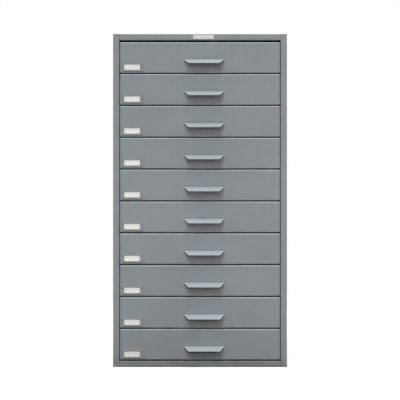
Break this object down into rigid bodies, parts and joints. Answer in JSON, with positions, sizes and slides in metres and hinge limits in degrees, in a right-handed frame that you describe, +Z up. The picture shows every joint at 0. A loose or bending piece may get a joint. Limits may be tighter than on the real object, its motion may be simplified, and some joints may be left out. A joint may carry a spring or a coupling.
{
  "type": "filing cabinet",
  "caption": "Tall narrow grey steel cabinet with a stack of shallow sliding drawers, each with a folded finger pull and a framed label card.",
  "frame": {"origin": "centre of the overall box's base: on the floor, on the case's centre line, midway between the handle tips and the screw heads on the back", "axes": "+Z up along the case's height, -Y towards the user, out of the drawer fronts, +X to the right seen from the front, along the case's width"},
  "size_m": [0.416, 0.52, 0.7962],
  "materials": {
    "case_paint": "satin",
    "drawer_paint": "satin",
    "handle_paint": "satin",
    "runner_steel": "zinc plated",
    "screw_steel": "zinc plated",
    "nylon": "matte",
    "rubber": "matte",
    "card": "matte",
    "plate_white": "gloss"
  },
  "bodies": {
    "case": {"left_side_panel": "case_paint", "right_side_panel": "case_paint", "top_panel": "case_paint", "base_panel": "case_paint", "back_panel": "case_paint", "drawer_runners": "runner_steel", "runner_glide_strips": "nylon", "runner_buffers": "rubber", "back_panel_screws": "screw_steel", "name_plate": "plate_white"},
    "drawer_01": {"drawer_01_tray": "drawer_paint", "drawer_01_front": "drawer_paint", "drawer_01_handle": "handle_paint", "drawer_01_label_holder": "handle_paint", "drawer_01_label_card": "card"},
    "drawer_02": {"drawer_02_tray": "drawer_paint", "drawer_02_front": "drawer_paint", "drawer_02_handle": "handle_paint", "drawer_02_label_holder": "handle_paint", "drawer_02_label_card": "card"},
    "drawer_03": {"drawer_03_tray": "drawer_paint", "drawer_03_front": "drawer_paint", "drawer_03_handle": "handle_paint", "drawer_03_label_holder": "handle_paint", "drawer_03_label_card": "card"},
    "drawer_04": {"drawer_04_tray": "drawer_paint", "drawer_04_front": "drawer_paint", "drawer_04_handle": "handle_paint", "drawer_04_label_holder": "handle_paint", "drawer_04_label_card": "card"},
    "drawer_05": {"drawer_05_tray": "drawer_paint", "drawer_05_front": "drawer_paint", "drawer_05_handle": "handle_paint", "drawer_05_label_holder": "handle_paint", "drawer_05_label_card": "card"},
    "drawer_06": {"drawer_06_tray": "drawer_paint", "drawer_06_front": "drawer_paint", "drawer_06_handle": "handle_paint", "drawer_06_label_holder": "handle_paint", "drawer_06_label_card": "card"},
    "drawer_07": {"drawer_07_tray": "drawer_paint", "drawer_07_front": "drawer_paint", "drawer_07_handle": "handle_paint", "drawer_07_label_holder": "handle_paint", "drawer_07_label_card": "card"},
    "drawer_08": {"drawer_08_tray": "drawer_paint", "drawer_08_front": "drawer_paint", "drawer_08_handle": "handle_paint", "drawer_08_label_holder": "handle_paint", "drawer_08_label_card": "card"},
    "drawer_09": {"drawer_09_tray": "drawer_paint", "drawer_09_front": "drawer_paint", "drawer_09_handle": "handle_paint", "drawer_09_label_holder": "handle_paint", "drawer_09_label_card": "card"},
    "drawer_10": {"drawer_10_tray": "drawer_paint", "drawer_10_front": "drawer_paint", "drawer_10_handle": "handle_paint", "drawer_10_label_holder": "handle_paint", "drawer_10_label_card": "card"}
  },
  "joints": [
    {"name": "drawer_01_slide", "type": "slide", "parent": "case", "child": "drawer_01", "axis": [0, -1, 0], "range_m": [0, 0.36]},
    {"name": "drawer_02_slide", "type": "slide", "parent": "case", "child": "drawer_02", "axis": [0, -1, 0], "range_m": [0, 0.36]},
    {"name": "drawer_03_slide", "type": "slide", "parent": "case", "child": "drawer_03", "axis": [0, -1, 0], "range_m": [0, 0.36]},
    {"name": "drawer_04_slide", "type": "slide", "parent": "case", "child": "drawer_04", "axis": [0, -1, 0], "range_m": [0, 0.36]},
    {"name": "drawer_05_slide", "type": "slide", "parent": "case", "child": "drawer_05", "axis": [0, -1, 0], "range_m": [0, 0.36]},
    {"name": "drawer_06_slide", "type": "slide", "parent": "case", "child": "drawer_06", "axis": [0, -1, 0], "range_m": [0, 0.36]},
    {"name": "drawer_07_slide", "type": "slide", "parent": "case", "child": "drawer_07", "axis": [0, -1, 0], "range_m": [0, 0.36]},
    {"name": "drawer_08_slide", "type": "slide", "parent": "case", "child": "drawer_08", "axis": [0, -1, 0], "range_m": [0, 0.36]},
    {"name": "drawer_09_slide", "type": "slide", "parent": "case", "child": "drawer_09", "axis": [0, -1, 0], "range_m": [0, 0.36]},
    {"name": "drawer_10_slide", "type": "slide", "parent": "case", "child": "drawer_10", "axis": [0, -1, 0], "range_m": [0, 0.36]}
  ]
}
